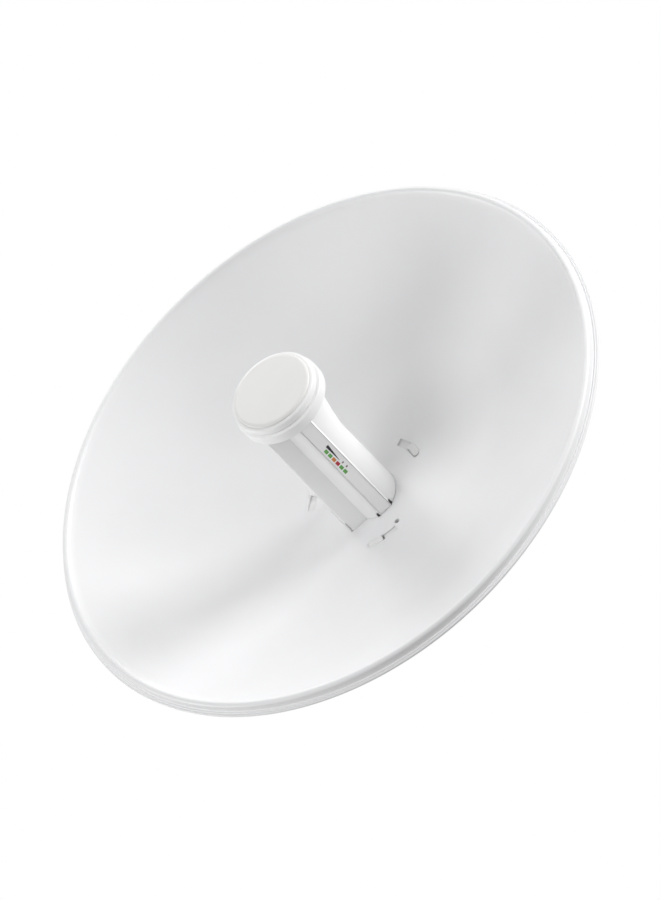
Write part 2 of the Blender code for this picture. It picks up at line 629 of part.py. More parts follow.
def make_screws(zinc):
    """Four pan-head screws that hold the alignment bracket to the housing."""
    profile = [(0.0, SCREW_HEAD), (0.6 * SCREW_HEAD_RADIUS, SCREW_HEAD), (SCREW_HEAD_RADIUS, SCREW_HEAD / 2),
               (SCREW_HEAD_RADIUS, 0.0), (SCREW_RADIUS, 0.0), (SCREW_RADIUS, CHAMFER - SCREW_LENGTH),
               (0.0, -SCREW_LENGTH)]
    made = []
    for number, (x, z) in enumerate(screw_places(), 1):
        screw = turned(f"bracket_screw_{number}", profile, zinc, BOLT_STEPS)
        screw.location = (x, EAR_FRONT_Y + STEEL + GAP, z)
        screw.rotation_euler = (-math.pi / 2, 0.0, 0.0)
        made.append(screw)
    return made


def main():
    reset()
    paint = material("white_powder_coat", (0.86, 0.86, 0.86), 0.45)
    plastic = material("white_plastic", (0.88, 0.88, 0.88), 0.35)
    paper = material("label_film", (0.72, 0.71, 0.71), 0.5)
    rubber = material("grey_rubber", (0.3, 0.3, 0.3), 0.8)
    steel = material("galvanised_steel", (0.62, 0.63, 0.64), 0.42, 1.0)
    zinc = material("zinc_plate", (0.7, 0.71, 0.72), 0.3, 1.0)
    frame = make_frame()
    pieces = [make_reflector(frame, paint), make_feed_tube(frame, plastic), make_label(paper),
              make_housing(frame, plastic), make_alignment_bracket(steel), make_pole_bracket(steel),
              winged_plate("pole_clamp", CLAMP_Y + STEEL / 2, steel, clamp_side=True)]
    pieces += make_head(frame, plastic) + make_port(plastic, rubber)
    pieces += make_clamp_bolts(zinc) + make_arm_bolts(zinc) + make_screws(zinc)
    bpy.context.view_layer.update()
    for piece in pieces:
        settle(piece)


main()
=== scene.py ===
"""The looks of a small microwave parabolic dish antenna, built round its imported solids. Metres, +Z up.

The dish looks along -Y. Front pieces are drawn in the dish's frame: x right, up, and a height out of
the bowl from its lowest point. Every surface is a grid of points worked out with numpy.
"""

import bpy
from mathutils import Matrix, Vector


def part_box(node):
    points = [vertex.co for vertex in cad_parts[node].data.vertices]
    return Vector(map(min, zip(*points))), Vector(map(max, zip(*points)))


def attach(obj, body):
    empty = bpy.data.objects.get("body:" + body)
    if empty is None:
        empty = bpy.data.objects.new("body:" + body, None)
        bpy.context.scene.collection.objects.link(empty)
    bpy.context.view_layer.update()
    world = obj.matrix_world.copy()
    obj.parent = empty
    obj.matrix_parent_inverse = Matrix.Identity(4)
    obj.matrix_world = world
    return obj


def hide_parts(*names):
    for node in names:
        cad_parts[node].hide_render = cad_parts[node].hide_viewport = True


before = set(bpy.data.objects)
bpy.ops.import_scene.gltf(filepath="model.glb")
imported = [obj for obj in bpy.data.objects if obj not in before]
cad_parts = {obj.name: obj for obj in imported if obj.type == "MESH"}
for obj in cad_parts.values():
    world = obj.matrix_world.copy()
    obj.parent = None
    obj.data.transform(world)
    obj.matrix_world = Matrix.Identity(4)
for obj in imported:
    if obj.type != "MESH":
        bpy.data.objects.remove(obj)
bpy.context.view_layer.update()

import math

import bmesh
import bpy
import numpy as np
from mathutils import Matrix, Vector

# Camera: it looks at the middle of the dish's lip from the right and level with it, turned over by about
# half a right angle, so that the feed points to the upper left. The long lens keeps the lip's ellipse true.
axis_z = (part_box("reflector")[0].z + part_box("reflector")[1].z) / 2
housing_depth = 0.0250                       # from the bowl's lowest point to the housing's back
vertex_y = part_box("rear_housing")[1].y - housing_depth
lip_crest = 0.0635                           # the lip's height over the bowl's lowest point
azimuth, elevation, roll = math.radians(47.34), 0.0, math.radians(45.8)
camera_distance = 15.0
focal_share = 24.746                         # focal length over the image's long side
aside = (0.0044, -0.0040)                    # the view's middle from the lip's, right and up


def shown(name, data):
    """A new object of this mesh, light or camera in the scene."""
    obj = bpy.data.objects.new(name, data)
    bpy.context.scene.collection.objects.link(obj)
    return obj


turn = (Matrix.Rotation(azimuth, 4, "Z") @ Matrix.Rotation(math.pi / 2 - elevation, 4, "X")
        @ Matrix.Rotation(roll, 4, "Z"))
lens = bpy.data.cameras.new("camera")
lens.lens = focal_share * lens.sensor_width
lens.clip_end = 100.0
camera = shown("camera", lens)
lip_middle = Vector((0.0, vertex_y - lip_crest, axis_z))
camera.matrix_world = Matrix.Translation(lip_middle) @ turn @ Matrix.Translation((*aside, camera_distance))
bpy.context.scene.camera = camera


# Reflector: a steel sheet pressed to a paraboloid, with a rolled lip and a stepped rim that ends in a
# turned-down edge, powder-coated white. A hole of the feed's outline, three bayonet slots and a pin hole go
# through it.
dish_radius = 0.2100
focal_length = 0.1656
sheet = 0.0010
sheet_start, bowl_edge = 0.0120, 0.2012      # radii where the sheet's section starts and the lip does
lip_roll, lip_radius = 0.0026, 0.2042
lip_lean, lip_end = math.radians(62), math.radians(88)
ledge_height, rim_foot = 0.0571, 0.0549
rim_steps = 288
crease = math.radians(32)                    # an edge that turns by more than this stays sharp
hub_drop = axis_z                            # the hub pattern's centre, under the dish axis
slot_inner, slot_outer = 0.0410, 0.0460
slot_span, tab_span = math.radians(30), math.radians(14)
tab_margin = 0.012                           # angle left free beside a tab at its slot's end
slot_middles = [math.radians(a) for a in (-16.5, 96, 217)]
pin_x, pin_up, pin_radius = 0.0389, -0.0006, 0.0019


def filleted(corners, steps=6, closed=False):
    """A polyline with rounded corners. Corners are (x, y, radius) triples, and at each the two sides are
    joined by an arc about the point that lies radius / sin(half the corner's angle) along the bisector."""
    spots = np.array([corner[:2] for corner in corners], float)
    radii = [corner[2] if len(corner) > 2 else 0.0 for corner in corners]
    parts = []
    for i, (spot, radius) in enumerate(zip(spots, radii)):
        if radius == 0.0 or (not closed and i in (0, len(spots) - 1)):
            parts.append(spot[None])
            continue
        before = spots[i - 1] - spot
        after = spots[(i + 1) % len(spots)] - spot
        before, after = before / np.linalg.norm(before), after / np.linalg.norm(after)
        half = math.acos(float(np.clip(before @ after, -1, 1))) / 2
        bisector = (before + after) / np.linalg.norm(before + after)
        middle = spot + bisector * radius / math.sin(half)
        first = spot + before * radius / math.tan(half) - middle
        last = spot + after * radius / math.tan(half) - middle
        sweep = math.pi - 2 * half
        share = np.linspace(0, 1, steps + 1)[:, None]
        spokes = np.sin((1 - share) * sweep) * first + np.sin(share * sweep) * last
        parts.append(middle + spokes / math.sin(sweep))
    return np.concatenate(parts)


def whole_turn(steps):
    """Angles all round, evenly spaced."""
    return np.linspace(0, 2 * np.pi, steps, endpoint=False)


def on_circle(x, y, radius, angle):
    """Points (x + radius cos angle, y + radius sin angle)."""
    return np.stack([x + radius * np.cos(angle), y + radius * np.sin(angle)], -1)


def disc_outline(x, y, radius, steps=40):
    """A circle about (x, y), counter-clockwise."""
    return on_circle(x, y, radius, whole_turn(steps))


def circled(radius, height, steps):
    """Rings of points (radius cos t, radius sin t, height). The radius may differ from point to point."""
    angle = whole_turn(steps)
    return np.stack([radius * np.cos(angle), radius * np.sin(angle), height + 0 * angle], -1)


def revolved(profile, steps):
    """One ring for each (radius, height) of the profile."""
    return circled(profile[:, :1], profile[:, 1:], steps)


def placed(points, origin, right, up):
    """Local points carried to the world: origin + a right + b up + c (right x up)."""
    right, up = np.array(right, float), np.array(up, float)
    return np.array(origin) + points @ np.stack([right, up, np.cross(right, up)])


def in_dish(points):
    """Points (right, up, height out of the bowl) carried to the world."""
    return placed(points, (0, vertex_y, axis_z), (1, 0, 0), (0, 0, 1))


def skinned(rings, loop=False):
    """A closed mesh over rings of points, each joined to the next by quads. Its ends are capped, or with
    loop the last ring joins the first."""
    rows, columns = rings.shape[:2]
    index = np.arange(rows * columns).reshape(rows, columns)
    low = index if loop else index[:-1]
    high = np.roll(index, -1, axis=0) if loop else index[1:]
    quads = np.stack([low, np.roll(low, -1, 1), np.roll(high, -1, 1), high], axis=-1).reshape(-1, 4)
    ends = [] if loop else [index[0][::-1].tolist(), index[-1].tolist()]
    mesh = bpy.data.meshes.new("surface")
    mesh.from_pydata(rings.reshape(-1, 3).tolist(), [], quads.tolist() + ends)
    work = bmesh.new()
    work.from_mesh(mesh)
    bmesh.ops.remove_doubles(work, verts=work.verts, dist=0.0000005)
    bmesh.ops.recalc_face_normals(work, faces=work.faces)
    work.to_mesh(mesh)
    work.free()
    return mesh


def joined(meshes):
    """One mesh of several that don't touch."""
    work = bmesh.new()
    for mesh in meshes:
        work.from_mesh(mesh)
        bpy.data.meshes.remove(mesh)
    made = bpy.data.meshes.new("surface")
    work.to_mesh(made)
    work.free()
    return made


def cut(obj, cutters, operation="DIFFERENCE"):
    """Takes closed meshes from the object, or adds them to it, and keeps the result as its own mesh."""
    helpers = []
    for mesh in cutters:
        helper = shown("cutter", mesh)
        modifier = obj.modifiers.new("cutter", "BOOLEAN")
        modifier.operation = operation
        modifier.object = helper
        modifier.solver = "EXACT"
        helpers.append(helper)
    graph = bpy.context.evaluated_depsgraph_get()
    obj.data = bpy.data.meshes.new_from_object(obj.evaluated_get(graph))
    obj.modifiers.clear()
    for helper in helpers:
        bpy.data.objects.remove(helper, do_unlink=True)


def smooth(obj):
    """Smooth shading between sharp creases."""
    obj.data.shade_smooth()
    obj.data.set_sharp_from_angle(angle=crease)


def piece(name, mesh, material, slot, *stands_for):
    """An object of this mesh that rides on the antenna, takes its finish and stands for solids."""
    mesh.name = name
    mesh.materials.append(material)
    obj = shown(name, mesh)
    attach(obj, "root")
    if stands_for:
        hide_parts(*stands_for)
    smooth(obj)
    return obj


def bowl(radius):
    """Height of the paraboloid: radius squared over four focal lengths."""
    return radius ** 2 / (4 * focal_length)


def reflector_section():
    """The sheet's section, from the hub out over the front and back along the underside. The bowl follows the
    paraboloid, the lip is the arc (lip_radius - roll sin a, crest - roll (1 - cos a)), the rim is a polyline
    with rounded corners, and the underside is the same moved by the sheet's thickness along the normals."""
    inner = np.concatenate([np.linspace(sheet_start, 0.034, 6), np.linspace(0.036, 0.052, 17),
                            np.linspace(0.055, bowl_edge, 44)])
    front = np.stack([inner, bowl(inner)], 1)
    lean = np.linspace(lip_lean, -lip_end, 16)
    lip = np.stack([lip_radius - lip_roll * np.sin(lean), lip_crest - lip_roll * (1 - np.cos(lean))], 1)
    foot = lip[-1, 0] + 0.0001
    rim = filleted([(foot, ledge_height + 0.002), (foot, ledge_height, 0.0005),
                    (0.2083, ledge_height, 0.00025), (0.2084, ledge_height - 0.0006, 0.00025),
                    (dish_radius, ledge_height - 0.0007, 0.0006), (dish_radius, rim_foot)], 4)
    under = filleted([(dish_radius - 0.0009, rim_foot), (dish_radius - 0.0009, ledge_height - 0.0017, 0.0003),
                      (foot - sheet, ledge_height - sheet, 0.0012), (foot - sheet, ledge_height + 0.003)], 4)
    inside = lip_roll - sheet
    lean = lean[::-1][2:]
    lip_back = np.stack([lip_radius - inside * np.sin(lean),
                         lip_crest - sheet - inside * (1 - np.cos(lean))], 1)
    outer = np.linspace(bowl_edge + 0.0002, sheet_start, 40)
    slope = np.arctan(outer / (2 * focal_length))
    back = np.stack([outer + sheet * np.sin(slope), bowl(outer) - sheet * np.cos(slope)], 1)
    return np.concatenate([front, lip, rim, under, lip_back, back])


def arc_band(inner, outer, first, last, round_end=False):
    """A curved band between two radii and two angles, counter-clockwise. Its first end is square, or else
    round: half a circle about the point midway between the radii."""
    half, middle = (outer - inner) / 2, (outer + inner) / 2
    start = first + half / middle if round_end else first
    angle = np.linspace(start, last, 12)[:, None]
    spokes = np.hstack([np.cos(angle), np.sin(angle)])
    swing = np.linspace(math.pi, 0, 10)[1:-1, None]
    across = np.array([-spokes[0, 1], spokes[0, 0]])
    cap = middle * spokes[0] + half * (np.cos(swing) * spokes[0] - np.sin(swing) * across)
    return np.concatenate([outer * spokes, inner * spokes[::-1]] + ([cap] if round_end else []))


def outward(outline):
    """Unit normals of a counter-clockwise outline, each halfway between its two sides' normals."""
    side = np.roll(outline, -1, 0) - outline
    normal = np.stack([side[:, 1], -side[:, 0]], 1) / np.linalg.norm(side, axis=1)[:, None]
    mean = normal + np.roll(normal, 1, 0)
    return mean / (mean * normal).sum(1)[:, None]


def prism(outline, path, base=0.0):
    """Rings of one outline: each (grow, height) of the path moves it along its normals and lifts it over
    base, which may be one height for each point of the outline."""
    normal = outward(outline)
    level = base + 0 * outline[:, 0]
    return np.stack([np.column_stack([outline + normal * grow, height + level]) for grow, height in path])


def over_bowl(outline, path):
    """A prism whose heights are counted from the bowl's surface under each point."""
    return in_dish(prism(outline, path, bowl(np.linalg.norm(outline, axis=1))))


def hub_outline(outline):
    """An outline drawn about the hub pattern's centre, as dish coordinates."""
    return outline - np.array([0.0, hub_drop])


def finish(name, roughness, metallic=0.0, **more):
    """A new material whose shader has these plain values."""
    made = bpy.data.materials.new(name)
    made.use_nodes = True
    inputs = made.node_tree.nodes["Principled BSDF"].inputs
    for socket, value in {"Roughness": roughness, "Metallic": metallic, **more}.items():
        inputs[socket.replace("_", " ")].default_value = value
    return made


def add(made, kind, **inputs):
    """A new node's outputs. An input is linked if it is a socket, or else set."""
    node = made.node_tree.nodes.new(kind)
    for name, value in inputs.items():
        if isinstance(value, bpy.types.NodeSocket):
            made.node_tree.links.new(value, node.inputs[name])
        else:
            node.inputs[name].default_value = value
    return node.outputs


def noise(made, where, scale, detail, **more):
    """Cloudy noise from 0 to 1, this many clouds to the metre."""
    return add(made, "ShaderNodeTexNoise", Vector=where, Scale=scale, Detail=detail, **more)["Fac"]


def spread(made, value, low, high):
    """A number that runs from low to high while this one runs from 0 to 1."""
    return add(made, "ShaderNodeMapRange", Value=value, **{"To Min": low, "To Max": high})["Result"]


def ramp(made, factor, *stops):
    """A colour that runs through (place, colour) stops."""
    node = made.node_tree.nodes.new("ShaderNodeValToRGB")
    made.node_tree.links.new(factor, node.inputs["Fac"])
    while len(node.color_ramp.elements) < len(stops):
        node.color_ramp.elements.new(0.5)
    for element, (place, colour) in zip(node.color_ramp.elements, stops):
        element.position = place
        element.color = (*colour, 1.0)
    return node.outputs["Color"]


def bumped(made, height, distance, strength):
    """A normal that follows this height."""
    return add(made, "ShaderNodeBump", Height=height, Distance=distance, Strength=strength)["Normal"]


def wire(made, shade, gloss=None, normal=None):
    """Links a colour to the material's shader, and where they are given a roughness and a normal."""
    shader = made.node_tree.nodes["Principled BSDF"]
    for name, value in (("Base Color", shade), ("Roughness", gloss), ("Normal", normal)):
        if value is not None:
            made.node_tree.links.new(value, shader.inputs[name])


def powder_coat():
    """White powder coat: faint clouds in the tint, a slight orange peel, and a soft uneven gloss."""
    made = finish("white_powder_coat", 0.40)
    where = add(made, "ShaderNodeTexCoord")["Object"]
    cloud, peel = noise(made, where, 14.0, 3.0), noise(made, where, 650.0, 2.0)
    shade = ramp(made, cloud, (0.3, (0.834, 0.836, 0.844)), (0.7, (0.863, 0.865, 0.872)))
    wire(made, shade, spread(made, cloud, 0.36, 0.46), bumped(made, peel, 0.00003, 0.25))
    return made


# the feed's outline is drawn here, because the sheet's hole follows it
barrel_radius = 0.02315
barrel_middle = 0.00475                      # the round back's centre, under the dish axis
strip_x, strip_top, strip_bottom = 0.0222, 0.0040, -0.0054
rail, rail_rise = 0.0012, 0.0005
rail_slope = 0.0008                          # fall of the upper rail from the round back to its edge
flat_x, flat_top = 0.0153, -0.0140
shoulder_swell = 0.0003                      # bulge of the slope under each rail, each way
barrel_bottom = -0.0279


def barrel_half(plain=False):
    """The feed's section, from the top of its round back down the right side, and how high each point of the
    back stands over its shoulder. The back is x = R sin a, up = R cos a - middle, and then come the strip
    between its rails, a slope swollen by a parabola, and the lower flat. A plain section keeps the rails'
    edges sharp."""
    edge, shoulder = strip_x + rail_rise, strip_top + rail
    lean = np.linspace(0, math.acos((shoulder + barrel_middle) / barrel_radius), 30)
    crown = np.stack([barrel_radius * np.sin(lean), barrel_radius * np.cos(lean) - barrel_middle], 1)
    side = [(crown[-1, 0] + 0.0001, shoulder), (edge, shoulder - rail_slope, 0.0003),
            (edge, strip_top, 0.0002), (strip_x, strip_top - 0.0001, 0.0001),
            (strip_x, strip_bottom + 0.0005, 0.0001), (edge, strip_bottom - 0.0003, 0.0002),
            (edge, strip_bottom - rail)]
    side = filleted([corner[:2] for corner in side] if plain else side, 3)
    share = np.linspace(0, 1, 9)[1:, None]
    swell = shoulder_swell * 4 * share * (1 - share)
    slope = np.array([edge, strip_bottom - rail]) * (1 - share) + np.array([flat_x, flat_top]) * share
    base = filleted([(flat_x, flat_top - 0.0005), (flat_x, barrel_bottom, 0.0019), (0.0, barrel_bottom)], 6)
    half = np.concatenate([crown, side, slope + swell * (1, -1), base])
    own_height = np.where(np.arange(len(half)) < len(crown), half[:, 1] - shoulder, 0.0)
    return half, own_height


def barrel_outline(stretch=0.0, plain=False):
    """The whole section, counter-clockwise: the right half upwards, then the left half down. The round back
    climbs by its own height times stretch."""
    half, own_height = barrel_half(plain)
    right = half + np.stack([0 * own_height, own_height * stretch], 1)
    return np.concatenate([right[::-1], right[1:-1] * (-1, 1)])


coat = powder_coat()
sheet_rings = in_dish(revolved(reflector_section(), rim_steps))
reflector = piece("dish_reflector", skinned(sheet_rings, loop=True), coat, "reflector_paint", "reflector")

# holes widen along (grow, height) paths from under the sheet to above it: a snug one for the feed, which is
# eased beside its round back, and a pressed one with a rounded edge for the others
snug = ((0.0001, -0.0040), (0.0001, -0.0002), (0.0002, 0.0), (0.0003, 0.0002), (0.0004, 0.0040))
pressed = ((0.0, -0.0040), (0.0, -0.0006), (0.0001, -0.0003), (0.0003, -0.0001), (0.0007, 0.0002),
           (0.0016, 0.0040))
hole_ease = 1.02
feed_hole = barrel_outline(plain=True)
beside_back = feed_hole[:, 1] > strip_top + rail - 0.0001
feed_hole[:, 0] *= np.where(beside_back, hole_ease, 1.0)
holes = [skinned(over_bowl(feed_hole, snug))]
tab_ends = []
for middle in slot_middles:
    first, last = middle - slot_span / 2, middle + slot_span / 2
    tab_ends.append((first + tab_margin, first + tab_margin + tab_span))
    slot = hub_outline(arc_band(slot_inner, slot_outer, first, last, round_end=True))
    holes.append(skinned(over_bowl(slot, pressed)))
pin_outline = disc_outline(pin_x, pin_up, pin_radius, 24)
holes.append(skinned(over_bowl(pin_outline, pressed)))
cut(reflector, holes)
smooth(reflector)


# Feed tube: white moulded plastic, round at the back and flat-sided below, with a rail on each side of the
# strip that takes the label. It stands in the housing, and its round back climbs to the head.
barrel_back, barrel_front = -0.0130, 0.1158
flare_start, flare_rise, flare_power = 0.0660, 0.0086, 1.3
# notches at the rails' feet and in the lower corner: x from and to, up from and to, and the height of each
notch_sizes = ((0.0170, 0.0250, 0.0044, 0.0060, 0.0050), (0.0170, 0.0250, -0.0076, -0.0060, 0.0044),
               (0.0125, 0.0165, -0.0271, -0.0265, 0.0112))
notch_foot = -0.0040


def shaded(tint, share):
    """A tint with each channel times share."""
    return tuple(channel * share for channel in tint)


def moulded(name, tint, roughness, grain=1500.0, depth=0.00002):
    """Moulded plastic: an even tint with slight flow marks, a fine spark-eroded grain, and a soft sheen."""
    made = finish(name, roughness)
    where = add(made, "ShaderNodeTexCoord")["Object"]
    flow, fine = noise(made, where, 28.0, 2.0, Distortion=0.6), noise(made, where, grain, 2.0)
    shade = ramp(made, flow, (0.35, shaded(tint, 0.985)), (0.65, tint))
    wire(made, shade, spread(made, fine, roughness - 0.04, roughness + 0.05), bumped(made, fine, depth, 0.25))
    return made


def barrel_rings():
    """The section at each height: straight up to the flare, and then with a round back that climbs by
    flare_rise * share ** flare_power."""
    share = np.linspace(0, 1, 26)[1:]
    straight = [barrel_back, 0.0, 0.03, flare_start]
    heights = np.concatenate([straight, flare_start + (barrel_front - flare_start) * share])
    back_height = barrel_radius - barrel_middle - strip_top - rail
    stretch = np.concatenate([np.zeros(len(straight)), flare_rise * share ** flare_power / back_height])
    outlines = np.stack([barrel_outline(s) for s in stretch])
    lifts = np.broadcast_to(heights[:, None, None], outlines.shape[:2] + (1,))
    return np.concatenate([outlines, lifts], axis=-1)


feed_plastic = moulded("white_feed_plastic", (0.87, 0.87, 0.868), 0.34)
barrel = piece("feed_barrel", skinned(in_dish(barrel_rings())), feed_plastic, "feed_plastic", "feed_tube")
notches = []
for side in (1, -1):
    for x0, x1, low, high, top in notch_sizes:
        outline = np.array([(x0, low), (x1, low), (x1, high), (x0, high)]) * (side, 1)
        notches.append(skinned(in_dish(prism(outline[::side], [(0.0, notch_foot), (0.0, top)]))))
cut(barrel, notches)
smooth(barrel)


# Signal label: a thin printed film on the strip between the rails, with six coloured squares in a row, a
# black wedge beside them and two small marks. The print is ink, a few hundredths of a millimetre thick.
label_low, label_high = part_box("signal_label")
ink = 0.00004
square_pitch, square_long, square_tall = 0.00496, 0.0039, 0.0024
square_start, square_up = 0.0795, -0.00225
square_colours = ("green", "green", "orange", "red", "green", "green")
wedge = np.array([(0.0638, 0.0001), (0.0638, 0.0003), (0.0812, 0.0018), (0.0812, -0.0003)])
mark_middles, mark_half, mark_low, mark_high = (0.0602, 0.0552), 0.0007, 0.0001, 0.0016
inks = {"green": (0.11, 0.36, 0.07), "orange": (0.60, 0.22, 0.05), "red": (0.42, 0.02, 0.035),
        "black": (0.012, 0.012, 0.016), "grey": (0.20, 0.16, 0.15)}


def rectangle(x0, y0, x1, y1, radius, steps=4):
    """A counter-clockwise rectangle with rounded corners."""
    return filleted([(x0, y0, radius), (x1, y0, radius), (x1, y1, radius), (x0, y1, radius)], steps,
                    closed=True)


def on_strip(outline, thick, lift=0.0):
    """A thin patch on the label's strip: its outline is (height in the dish's frame, up from the dish axis),
    and its rings carry it out by thick, the last one drawn in a little."""
    flat = np.stack([vertex_y - outline[:, 0], axis_z + outline[:, 1]], 1)[::-1]
    rings = prism(flat, [(0.0, 0.0), (0.0, 0.7 * thick), (-0.3 * thick, thick)])
    return skinned(placed(rings, (label_low.x + lift, 0, 0), (0, 1, 0), (0, 0, 1)))


def printed(name, tint, roughness=0.45):
    """Ink on film: an even tint, broken a little by a fine screen."""
    made = finish(name, roughness, Coat_Weight=0.15, Coat_Roughness=0.2)
    screen = noise(made, add(made, "ShaderNodeTexCoord")["Object"], 4200.0, 1.0)
    shade = ramp(made, screen, (0.3, shaded(tint, 0.94)), (0.7, shaded(tint, 1.04)))
    wire(made, shade, normal=bumped(made, screen, 0.000004, 0.3))
    return made


film_outline = rectangle(vertex_y - label_high.y, label_low.z - axis_z,
                         vertex_y - label_low.y, label_high.z - axis_z, 0.0006)
film_thick = label_high.x - label_low.x
film = printed("label_film", (0.845, 0.84, 0.84), 0.38)
piece("label_film", on_strip(film_outline, film_thick), film, "label_film", "signal_label")
marks = {colour: [] for colour in inks}
for number, colour in enumerate(square_colours):
    front = square_start - number * square_pitch
    marks[colour].append(rectangle(front - square_long, square_up - square_tall / 2,
                                   front, square_up + square_tall / 2, 0.0003))
marks["black"].append(wedge)
for middle in mark_middles:
    marks["grey"].append(rectangle(middle - mark_half, mark_low, middle + mark_half, mark_high, 0.0002))
for colour, outlines in marks.items():
    patches = [on_strip(outline, ink, film_thick) for outline in outlines]
    piece(f"signal_marks_{colour}", joined(patches), printed(f"{colour}_ink", inks[colour]), "label_film")


# Feed head: three round mouldings, one on another. A skirt covers the tube's end, a ring stands on it behind
# a narrow groove, and a disc with a rounded edge is raised in the ring. A small sub-reflector is inside.
head_steps = 160
skirt_section = [(0, 0.1247), (0.0312, 0.1247), (0.0333, 0.1238, 0.0011), (0.0333, 0.1161, 0.0006),
                 (0.0322, 0.1161), (0, 0.1161)]
ring_section = [(0.02943, 0.1310, 0.0003), (0.0317, 0.1303, 0.0012), (0.0317, 0.1262, 0.0005),
                (0.0311, 0.1248), (0.02943, 0.1248)]
face_height, face_flat, face_back = 0.1326, 0.0266, 0.1248
edge_reach, edge_fall = 0.0028, 0.0017       # the disc's rounded edge, outwards and down


def turned(section, loop=False):
    """A round moulding about the dish axis, from (radius, height) pairs."""
    return skinned(in_dish(revolved(section, head_steps)), loop)


edge_turn = np.linspace(0, math.pi / 2, 10)
face_edge = np.stack([face_flat + edge_reach * np.sin(edge_turn),
                      face_height - edge_fall * (1 - np.cos(edge_turn))], 1)
face_section = np.concatenate([[(0, face_height)], face_edge,
                               [(face_flat + edge_reach, face_back), (0, face_back)]])
skirt_plastic = moulded("white_head_plastic", (0.875, 0.875, 0.873), 0.30, 1200.0)
ring_plastic = moulded("white_ring_plastic", (0.875, 0.875, 0.872), 0.30, 1200.0)
face_plastic = moulded("pale_face_plastic", (0.80, 0.797, 0.785), 0.42, 900.0, 0.00003)
piece("feed_skirt", turned(filleted(skirt_section, 5)), skirt_plastic, "head_plastic", "head_skirt")
piece("feed_ring", turned(filleted(ring_section, 5, closed=True), loop=True), ring_plastic, "ring_plastic",
      "front_ring")
piece("feed_disc", turned(face_section), face_plastic, "face_plastic", "face_disc")


# Rear housing: a white moulded body behind the dish, its front pressed to the curve of the sheet. A flange
# backs the sheet, three tabs come through the bayonet slots, and a boss below leads the cable in.
flange_radius, housing_radius = 0.0542, 0.0441
under_sheet = 0.00135                        # from the bowl's surface to the housing's front
band_radius = housing_radius - 0.0004        # in the groove round the body, and at its back
port_middle = vertex_y + 0.0155
port_mouth = -0.0490
screw_reach = 0.0158
screw_spots = [(x, z) for x in (-screw_reach, screw_reach) for z in (-screw_reach, screw_reach)]
tab_inner = slot_inner + 0.0008
# the two directions in which a piece that is turned about each axis is drawn
axes = {"x": ((0, 1, 0), (0, 0, 1)), "-x": ((0, 0, 1), (0, 1, 0)), "y": ((0, 0, 1), (1, 0, 0)),
        "z": ((1, 0, 0), (0, 1, 0))}


def spun(profile, spot, axis, steps=64):
    """A profile of (radius, height) pairs turned about an axis of the world through this spot."""
    return skinned(placed(revolved(np.array(profile, float), steps), spot, *axes[axis]))


def housing_rings():
    """Rings about the hub's centre. Those of the front lie under the paraboloid, at bowl(distance from the
    dish's axis) less the sheet and a gap, and the others at the heights of the body's own section."""
    face = np.array([(radius, -under_sheet) for radius in np.linspace(0.0, 0.0535, 26)]
                    + [(0.0539, -under_sheet - 0.0002), (flange_radius, -under_sheet - 0.0008)])
    body = filleted([(flange_radius, -0.0030), (flange_radius, -0.0060, 0.0012),
                     (housing_radius + 0.0002, -0.0062, 0.0040), (housing_radius, -0.0144),
                     (band_radius, -0.0147), (band_radius, -0.0149), (housing_radius, -0.0152),
                     (band_radius, -housing_depth, 0.0066), (0, -housing_depth)])
    rings = revolved(np.concatenate([face, body]), 240)
    rings[..., 1] -= hub_drop
    follows = (np.arange(len(rings)) < len(face))[:, None]
    rings[..., 2] += follows * bowl(np.hypot(rings[..., 0], rings[..., 1]))
    return rings


housing_plastic = moulded("white_housing_plastic", (0.84, 0.84, 0.836), 0.42, 1000.0, 0.00004)
housing = piece("rear_body", skinned(in_dish(housing_rings())), housing_plastic, "housing_plastic",
                "rear_housing")

# the body is hollow beside the first two tabs, and the pin hole goes on into it
sunk = []
for _, last in tab_ends[:2]:
    core = arc_band(slot_inner - 0.0002, slot_outer + 0.0004, last - 0.004, last + 0.030)
    sunk.append(skinned(over_bowl(hub_outline(core), [(0.0, -0.0060), (0.0, 0.0040)])))
sunk.append(skinned(over_bowl(pin_outline, [(-0.0004, -0.0070), (-0.0002, 0.0040)])))
cut(housing, sunk)

# the boss stands below, and each tab is a post with a wider lip that has eased edges
boss = rectangle(-0.0156, port_middle - 0.0081, 0.0156, port_middle + 0.0081, 0.0031)
boss_path = [(-0.0005, port_mouth), (0.0, port_mouth + 0.0005), (0.0, -0.0240)]
post_path = [(0.0, -0.0060), (0.0, 0.0008)]
lip_path = [(0.0, -0.0002), (0.0, 0.0005), (-0.0001, 0.0008), (-0.0003, 0.0010), (-0.0007, 0.0011)]
grown = [skinned(prism(boss, boss_path))]
for first, last in tab_ends:
    post = arc_band(tab_inner, slot_outer - 0.0006, first + 0.012, last - 0.002)
    grown.append(skinned(over_bowl(hub_outline(post), post_path)))
    lip = arc_band(tab_inner, slot_outer + 0.0009, first, last, round_end=True)
    grown.append(skinned(over_bowl(hub_outline(lip), lip_path)))
cut(housing, grown, "UNION")

# the tube's socket in the front, and the screws' holes in the back, with a chamfer at each mouth
socket_path = [(0.0003, -0.0133), (0.0003, 0.0200)]
hollows = [skinned(in_dish(prism(barrel_outline(plain=True), socket_path)))]
screw_hole = [(0, -0.0095), (0.0025, -0.0095), (0.0025, -0.0003), (0.0032, 0.0004), (0.0032, 0.0020),
              (0, 0.0020)]
for x, z in screw_spots:
    hollows.append(spun(screw_hole, (x, vertex_y + housing_depth, z), "y", 32))
cut(housing, hollows)
smooth(housing)


